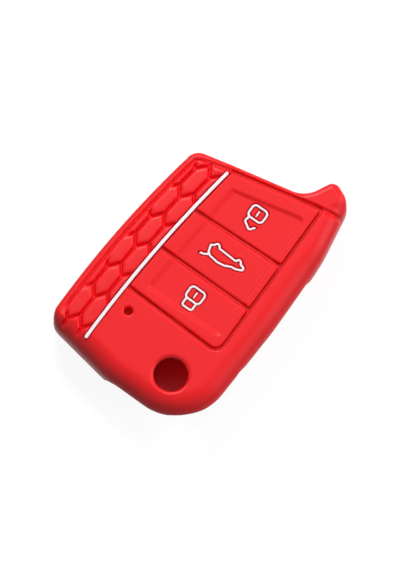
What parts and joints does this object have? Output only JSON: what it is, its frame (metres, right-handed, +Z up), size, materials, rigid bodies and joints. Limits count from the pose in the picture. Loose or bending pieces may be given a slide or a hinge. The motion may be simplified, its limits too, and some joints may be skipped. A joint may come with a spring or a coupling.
{
  "type": "key fob cover",
  "caption": "Red silicone sleeve for a folding car key, with flexing button pads, white symbols, a white stripe, a honeycomb grip relief and an open side for the blade.",
  "frame": {"origin": "middle of the cover's box, on the underside of its back", "axes": "+X across the cover towards the open side for the blade, +Y along the cover towards the ear at the key ring corner, +Z up out of the button face"},
  "size_m": [0.0528, 0.0818, 0.017],
  "materials": {
    "red_silicone": "matte moulded silicone",
    "white_silicone": "matte moulded silicone inlay"
  },
  "bodies": {
    "cover": {"sleeve": "red_silicone", "button_web": "red_silicone", "accent_stripe": "white_silicone"},
    "unlock": {"unlock_button": "red_silicone", "unlock_symbol": "white_silicone", "unlock_symbol_slit": "white_silicone"},
    "boot": {"boot_button": "red_silicone", "boot_symbol": "white_silicone"},
    "lock": {"lock_button": "red_silicone", "lock_symbol": "white_silicone", "lock_symbol_slit": "white_silicone"}
  },
  "joints": [
    {"name": "unlock_press", "type": "slide", "parent": "cover", "child": "unlock", "axis": [0, 0, -1], "range_m": [0, 0.0007], "stiffness_N_per_m": 800},
    {"name": "boot_press", "type": "slide", "parent": "cover", "child": "boot", "axis": [0, 0, -1], "range_m": [0, 0.0007], "stiffness_N_per_m": 800},
    {"name": "lock_press", "type": "slide", "parent": "cover", "child": "lock", "axis": [0, 0, -1], "range_m": [0, 0.0007], "stiffness_N_per_m": 800}
  ]
}
